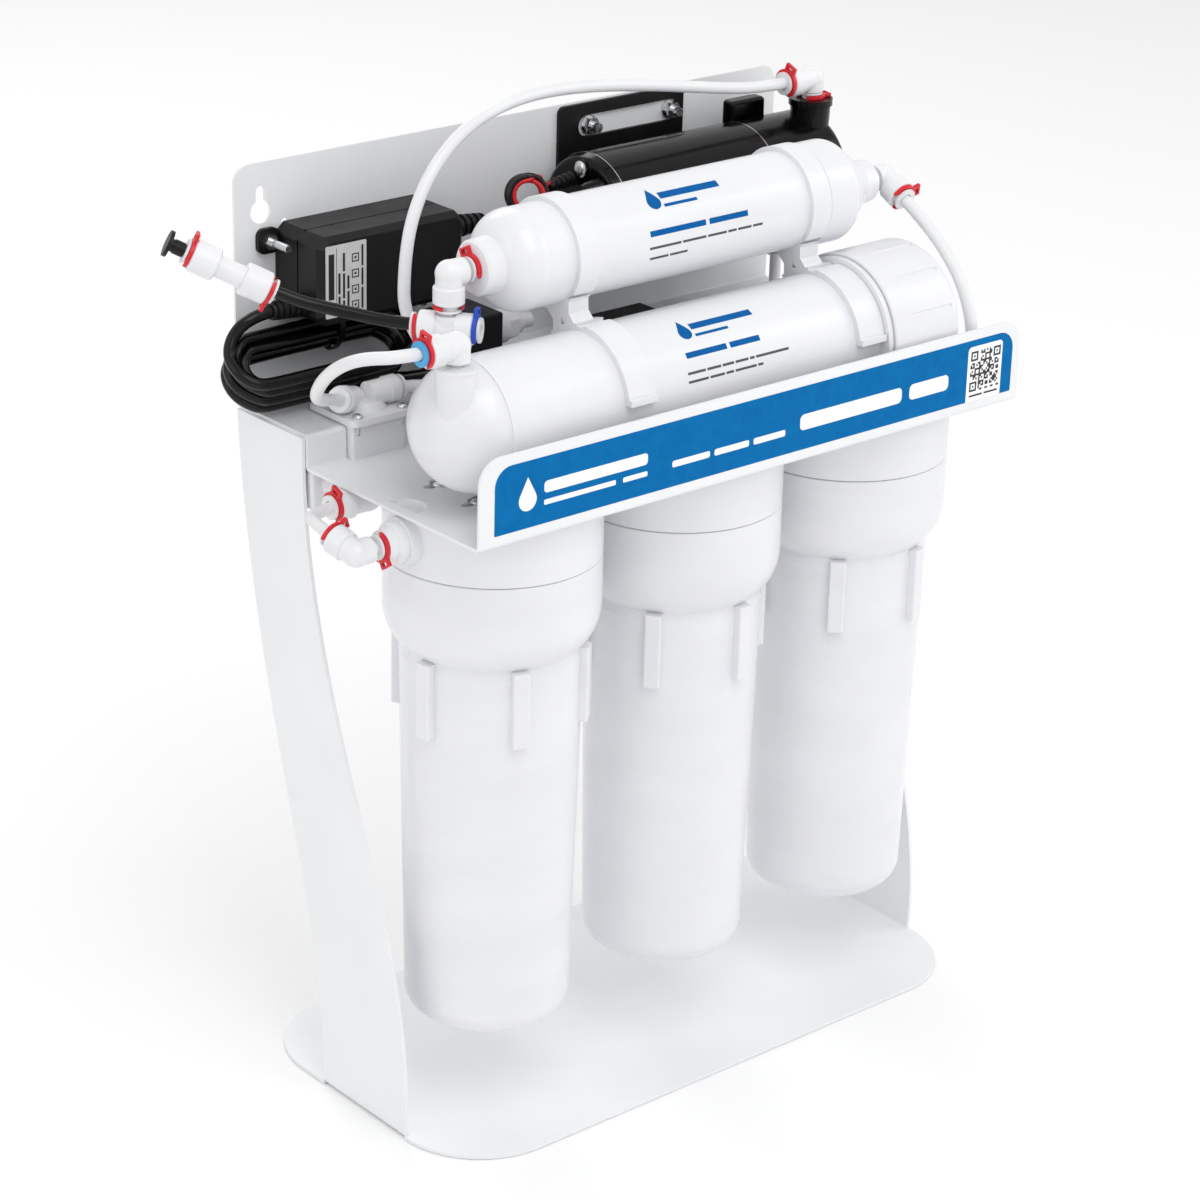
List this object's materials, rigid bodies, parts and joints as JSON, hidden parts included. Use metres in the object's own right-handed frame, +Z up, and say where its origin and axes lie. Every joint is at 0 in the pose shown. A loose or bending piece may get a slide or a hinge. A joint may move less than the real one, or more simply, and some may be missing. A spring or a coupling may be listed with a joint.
{
  "type": "reverse osmosis unit",
  "caption": "Under-sink reverse osmosis water filter on a white steel stand, with bowl filters, membrane housing, post-filter, booster pump and mains adapter.",
  "frame": {"origin": "centre of the base plate's underside", "axes": "+X to the right seen from the front, front is -Y, +Z up"},
  "size_m": [0.4299, 0.1996, 0.5115],
  "materials": {
    "frame_white": "satin",
    "housing_white": "gloss",
    "fitting_white": "satin",
    "cartridge_white": "matte",
    "membrane_film": "satin",
    "tube_white": "satin",
    "tube_black": "satin",
    "clip_red": "satin",
    "black_plastic": "satin",
    "black_paint": "satin",
    "rubber_black": "satin",
    "steel": "polished"
  },
  "bodies": {
    "stand": {"base_frame": "frame_white", "shelf_bracket": "frame_white", "frame_screws": "steel", "shutoff_screws": "steel", "wall_bolts": "steel", "filter_head_1": "housing_white", "filter_head_2": "housing_white", "filter_head_3": "housing_white", "bowl_orings": "rubber_black", "head_nipples": "fitting_white", "inlet_adapter": "fitting_white", "inlet_elbow": "fitting_white", "feed_elbow": "fitting_white", "inlet_valve": "fitting_white", "membrane_elbow": "fitting_white", "outlet_elbow": "fitting_white", "outlet_tee": "fitting_white", "outlet_union": "fitting_white", "postfilter_elbow": "fitting_white", "pump_elbow": "fitting_white", "shutoff_body": "fitting_white", "shutoff_cover": "fitting_white", "collets": "fitting_white", "membrane_housing": "housing_white", "postfilter_housing": "housing_white", "postfilter_cap": "housing_white", "clip_left": "housing_white", "clip_right": "housing_white", "membrane_element": "membrane_film", "inlet_tube": "tube_white", "permeate_tube": "tube_white", "pump_tube": "tube_white", "postfilter_tube": "tube_white", "pump_feed_tube": "tube_white", "outlet_tube": "tube_black", "locking_clips": "clip_red", "outlet_stopper": "black_plastic", "mains_adapter": "black_plastic", "pressure_switch": "black_plastic", "pump_head": "black_plastic", "pump_end_cap": "black_plastic", "pump_bracket": "black_plastic", "mains_plug": "black_plastic", "pump_motor": "black_paint", "mains_strain_relief": "rubber_black", "dc_strain_relief": "rubber_black", "mains_cable_in": "rubber_black", "mains_cable_out": "rubber_black", "mains_hank": "rubber_black", "dc_cable": "rubber_black", "pump_leads": "rubber_black"},
    "carriage_1": {"filter_cartridge_1": "cartridge_white"},
    "bowl_1": {"filter_bowl_1": "housing_white"},
    "carriage_2": {"filter_cartridge_2": "cartridge_white"},
    "bowl_2": {"filter_bowl_2": "housing_white"},
    "carriage_3": {"filter_cartridge_3": "cartridge_white"},
    "bowl_3": {"filter_bowl_3": "housing_white"},
    "cap_seal": {"membrane_seal": "rubber_black"},
    "cap": {"membrane_cap": "housing_white"},
    "rotor": {"pump_rotor": "steel"}
  },
  "joints": [
    {"name": "bowl_1_drop", "type": "slide", "parent": "stand", "child": "carriage_1", "axis": [0, 0, -1], "range_m": [0, 0.012]},
    {"name": "bowl_1_turn", "type": "hinge", "parent": "carriage_1", "child": "bowl_1", "pos_m": [-0.1207, -0.0327, 0.315], "axis": [0, 0, -1], "range_deg": [0, 720]},
    {"name": "bowl_2_drop", "type": "slide", "parent": "stand", "child": "carriage_2", "axis": [0, 0, -1], "range_m": [0, 0.012]},
    {"name": "bowl_2_turn", "type": "hinge", "parent": "carriage_2", "child": "bowl_2", "pos_m": [0, -0.0327, 0.315], "axis": [0, 0, -1], "range_deg": [0, 720]},
    {"name": "bowl_3_drop", "type": "slide", "parent": "stand", "child": "carriage_3", "axis": [0, 0, -1], "range_m": [0, 0.012]},
    {"name": "bowl_3_turn", "type": "hinge", "parent": "carriage_3", "child": "bowl_3", "pos_m": [0.1207, -0.0327, 0.315], "axis": [0, 0, -1], "range_deg": [0, 720]},
    {"name": "cap_out", "type": "slide", "parent": "stand", "child": "cap_seal", "axis": [1, 0, 0], "range_m": [0, 0.006]},
    {"name": "cap_turn", "type": "hinge", "parent": "cap_seal", "child": "cap", "pos_m": [0.1, -0.0534, 0.3861], "axis": [-1, 0, 0], "range_deg": [0, 720]},
    {"name": "pump_spin", "type": "hinge", "parent": "stand", "child": "rotor", "pos_m": [0.07, 0.062, 0.4324], "axis": [1, 0, 0], "continuous": true}
  ],
  "couplings": [
    {"joint": "bowl_1_turn", "follows": "bowl_1_drop", "rad_per_m": 1047.2},
    {"joint": "bowl_2_turn", "follows": "bowl_2_drop", "rad_per_m": 1047.2},
    {"joint": "bowl_3_turn", "follows": "bowl_3_drop", "rad_per_m": 1047.2},
    {"joint": "cap_turn", "follows": "cap_out", "rad_per_m": 2094.4}
  ]
}
